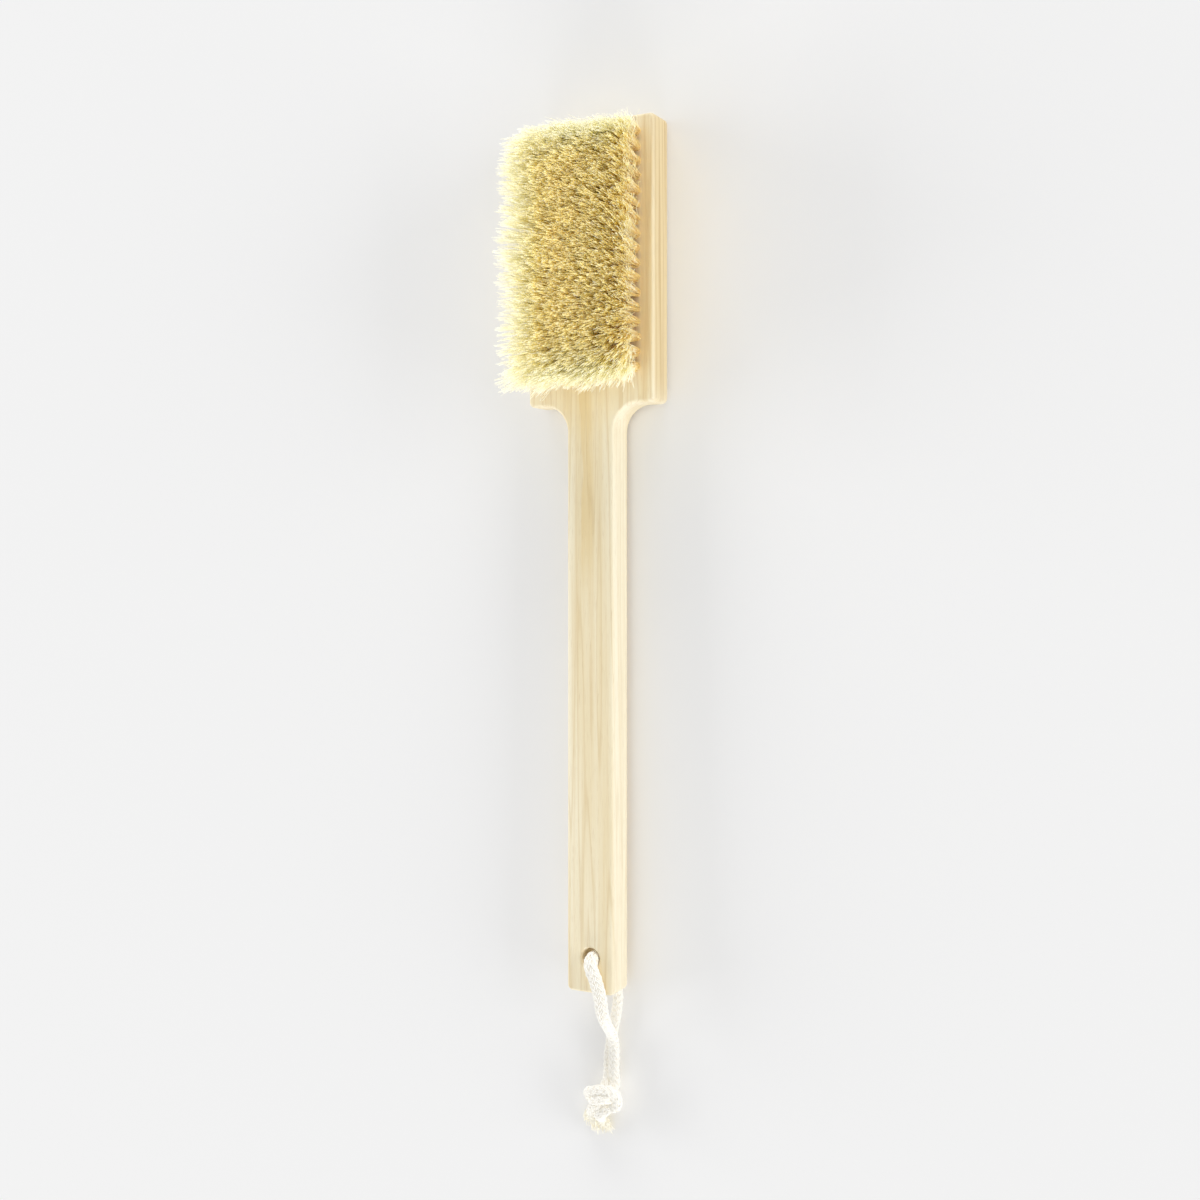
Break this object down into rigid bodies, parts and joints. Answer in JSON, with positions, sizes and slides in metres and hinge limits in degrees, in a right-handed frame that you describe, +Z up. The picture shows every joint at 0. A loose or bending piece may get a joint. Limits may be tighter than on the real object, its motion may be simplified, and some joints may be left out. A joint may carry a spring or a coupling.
{
  "type": "bath brush",
  "caption": "Long-handled wooden bath brush with a square head of natural fibre tufts and a knotted cotton cord loop through the handle's end for hanging it up.",
  "frame": {"origin": "on the table under the middle of the board's box, with the brush lying on its back", "axes": "+Z up, the way the bristles stand; +Y from the handle towards the head; +X across the board"},
  "size_m": [0.065, 0.472, 0.0468],
  "materials": {
    "pale_wood": "sanded bare pale hardwood with the grain along the handle",
    "plant_fibre": "stiff cream natural fibre, trimmed level",
    "cotton_cord": "undyed braided cotton"
  },
  "bodies": {
    "brush": {"brush_board": "pale_wood", "bristle_slice_1": "plant_fibre", "bristle_slice_2": "plant_fibre", "bristle_slice_3": "plant_fibre", "bristle_slice_4": "plant_fibre"},
    "hanging_cord": {"cord_through_hole": "cotton_cord", "cord_front_leg": "cotton_cord", "cord_rear_leg": "cotton_cord", "cord_knot": "cotton_cord"}
  },
  "joints": [
    {"name": "cord_swing", "type": "hinge", "parent": "brush", "child": "hanging_cord", "pos_m": [0, -0.18398, 0.01272], "axis": [0, 0.0136, 0.9999], "range_deg": [-120, 120]}
  ]
}
